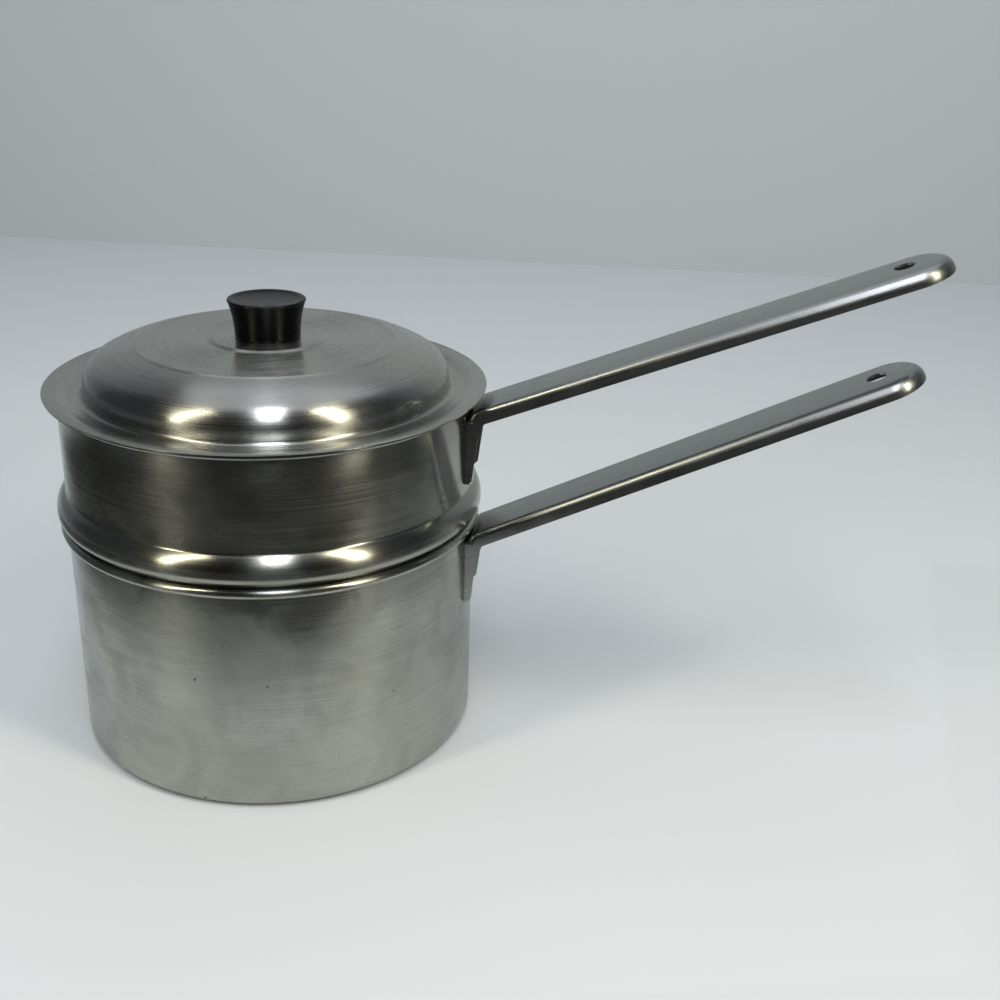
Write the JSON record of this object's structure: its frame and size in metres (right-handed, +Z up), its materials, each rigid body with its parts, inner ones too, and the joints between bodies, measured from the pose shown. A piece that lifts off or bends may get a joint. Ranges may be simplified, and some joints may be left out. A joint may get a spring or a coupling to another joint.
{
  "type": "double boiler",
  "caption": "Stainless steel double boiler: a saucepan, an insert pan that hangs in its mouth and a domed lid with a black knob, with long rising channel handles.",
  "frame": {"origin": "centre of the saucepan's flat underside, on the pans' common axis", "axes": "+Z up along the pans' axis, +X along both handles"},
  "size_m": [0.3506, 0.1762, 0.2122],
  "materials": {
    "pan_steel": "brushed round the axis",
    "handle_steel": "satin with polished edges",
    "phenolic": "moulded black, slight sheen",
    "brass": "turned",
    "screw_steel": "plain"
  },
  "bodies": {
    "saucepan": {"lower_pan": "pan_steel", "lower_handle": "handle_steel"},
    "insert": {"upper_pan": "pan_steel", "upper_handle": "handle_steel"},
    "cover": {"lid": "pan_steel", "knob": "phenolic", "knob_insert": "brass", "knob_screw": "screw_steel", "knob_washer": "screw_steel", "knob_lock_washer": "screw_steel"}
  },
  "joints": [
    {"name": "insert_lift", "type": "slide", "parent": "saucepan", "child": "insert", "axis": [0, 0, 1], "range_m": [0, 0.08]},
    {"name": "lid_lift", "type": "slide", "parent": "insert", "child": "cover", "axis": [0, 0, 1], "range_m": [0, 0.06]}
  ]
}
